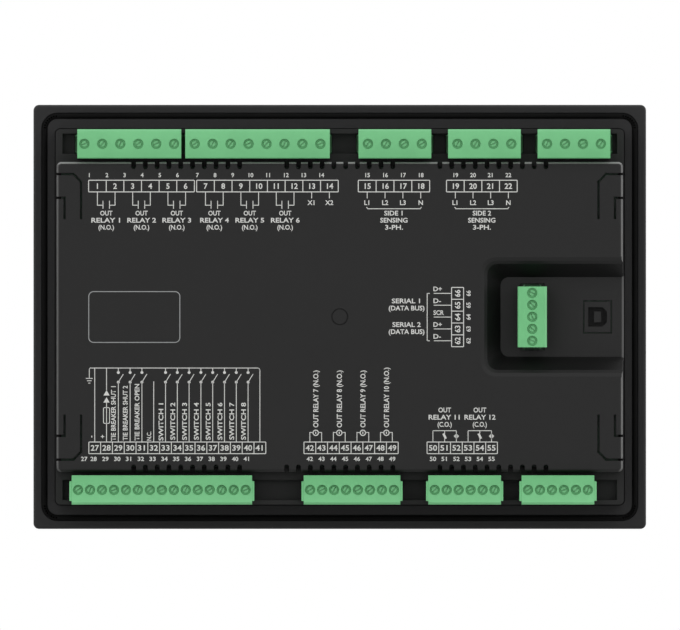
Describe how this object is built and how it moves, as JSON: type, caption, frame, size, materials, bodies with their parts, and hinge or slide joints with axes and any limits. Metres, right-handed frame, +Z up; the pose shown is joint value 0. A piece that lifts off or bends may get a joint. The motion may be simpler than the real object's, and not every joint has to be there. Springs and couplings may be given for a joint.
{
  "type": "bus tie controller",
  "caption": "Panel-mounted bus tie controller: bezel with display and keys in front, moulded rear housing with green pluggable screw terminals and a data pocket.",
  "frame": {"origin": "centre of the flange's sealing face, the plane that meets the switchboard door", "axes": "+X to the right for someone in front of the door, +Y out of the controller's back, +Z up. The keys and display face -Y and the terminals face +Y."},
  "size_m": [0.26, 0.054, 0.18],
  "materials": {
    "bezel_plastic": "fine spark-eroded black plastic",
    "housing_plastic": "fine-grained black plastic",
    "overlay_film": "satin printed film",
    "pane_acrylic": "clear hard-coated acrylic",
    "display_steel": "plain folded tin-plated sheet",
    "display_glass": "dark display glass, switched off",
    "circuit_board": "green solder mask",
    "switch_plastic": "plain black moulding",
    "key_grey": "grey key cap",
    "key_red": "red key cap",
    "key_green": "green key cap",
    "lens_clear": "frosted clear plastic",
    "lamp_body": "white lamp package",
    "gasket_rubber": "closed-cell sealing rubber",
    "terminal_green": "green flame-retardant plastic",
    "header_green": "green flame-retardant plastic",
    "tinned_metal": "tinned contact metal",
    "screw_steel": "plated screw steel",
    "socket_plastic": "plain black moulding",
    "relay_blue": "blue relay case",
    "can_sleeve": "dark shrink sleeve",
    "choke_black": "varnished winding and core",
    "chip_black": "black epoxy package",
    "battery_steel": "nickel-plated can"
  },
  "bodies": {
    "controller": {"front_bezel": "bezel_plastic", "fascia_overlay": "overlay_film", "display_pane": "pane_acrylic", "display_frame": "display_steel", "display_glass": "display_glass", "display_board": "circuit_board", "key_switches": "switch_plastic", "indicator_lenses": "lens_clear", "indicator_lamps": "lamp_body", "panel_gasket": "gasket_rubber", "rear_housing": "housing_plastic", "main_board": "circuit_board", "board_screws": "tinned_metal", "board_link": "switch_plastic", "relays": "relay_blue", "capacitors": "can_sleeve", "supply_choke": "choke_black", "processor": "chip_black", "clock_battery": "battery_steel", "data_socket_shell": "socket_plastic", "data_socket_tongue": "socket_plastic", "header_pins": "tinned_metal", "terminal_screws": "screw_steel", "clamp_cages": "tinned_metal", "header_01_06": "header_green", "header_07_14": "header_green", "header_15_18": "header_green", "header_19_22": "header_green", "header_23_26": "header_green", "header_27_41": "header_green", "header_42_49": "header_green", "header_50_55": "header_green", "header_56_61": "header_green", "header_62_66": "header_green", "plug_01_06": "terminal_green", "plug_07_14": "terminal_green", "plug_15_18": "terminal_green", "plug_19_22": "terminal_green", "plug_23_26": "terminal_green", "plug_27_41": "terminal_green", "plug_42_49": "terminal_green", "plug_50_55": "terminal_green", "plug_56_61": "terminal_green", "plug_62_66": "terminal_green"},
    "key_stop": {"key_stop": "key_red"},
    "key_manual": {"key_manual": "key_grey"},
    "key_auto": {"key_auto": "key_grey"},
    "key_open": {"key_open": "key_grey"},
    "key_close": {"key_close": "key_green"},
    "key_lamp_test": {"key_lamp_test": "key_grey"},
    "key_up": {"key_up": "key_grey"},
    "key_down": {"key_down": "key_grey"},
    "key_confirm": {"key_confirm": "key_grey"},
    "key_page": {"key_page": "key_grey"},
    "key_mute": {"key_mute": "key_grey"}
  },
  "joints": [
    {"name": "stop_press", "type": "slide", "parent": "controller", "child": "key_stop", "axis": [0, 1, 0], "range_m": [0, 0.0008], "stiffness_N_per_m": 2000, "springref_m": -0.0002},
    {"name": "manual_press", "type": "slide", "parent": "controller", "child": "key_manual", "axis": [0, 1, 0], "range_m": [0, 0.0008], "stiffness_N_per_m": 2000, "springref_m": -0.0002},
    {"name": "auto_press", "type": "slide", "parent": "controller", "child": "key_auto", "axis": [0, 1, 0], "range_m": [0, 0.0008], "stiffness_N_per_m": 2000, "springref_m": -0.0002},
    {"name": "open_press", "type": "slide", "parent": "controller", "child": "key_open", "axis": [0, 1, 0], "range_m": [0, 0.0008], "stiffness_N_per_m": 2000, "springref_m": -0.0002},
    {"name": "close_press", "type": "slide", "parent": "controller", "child": "key_close", "axis": [0, 1, 0], "range_m": [0, 0.0008], "stiffness_N_per_m": 2000, "springref_m": -0.0002},
    {"name": "lamp_test_press", "type": "slide", "parent": "controller", "child": "key_lamp_test", "axis": [0, 1, 0], "range_m": [0, 0.0008], "stiffness_N_per_m": 2000, "springref_m": -0.0002},
    {"name": "up_press", "type": "slide", "parent": "controller", "child": "key_up", "axis": [0, 1, 0], "range_m": [0, 0.0008], "stiffness_N_per_m": 2000, "springref_m": -0.0002},
    {"name": "down_press", "type": "slide", "parent": "controller", "child": "key_down", "axis": [0, 1, 0], "range_m": [0, 0.0008], "stiffness_N_per_m": 2000, "springref_m": -0.0002},
    {"name": "confirm_press", "type": "slide", "parent": "controller", "child": "key_confirm", "axis": [0, 1, 0], "range_m": [0, 0.0008], "stiffness_N_per_m": 2000, "springref_m": -0.0002},
    {"name": "page_press", "type": "slide", "parent": "controller", "child": "key_page", "axis": [0, 1, 0], "range_m": [0, 0.0008], "stiffness_N_per_m": 2000, "springref_m": -0.0002},
    {"name": "mute_press", "type": "slide", "parent": "controller", "child": "key_mute", "axis": [0, 1, 0], "range_m": [0, 0.0008], "stiffness_N_per_m": 2000, "springref_m": -0.0002}
  ]
}
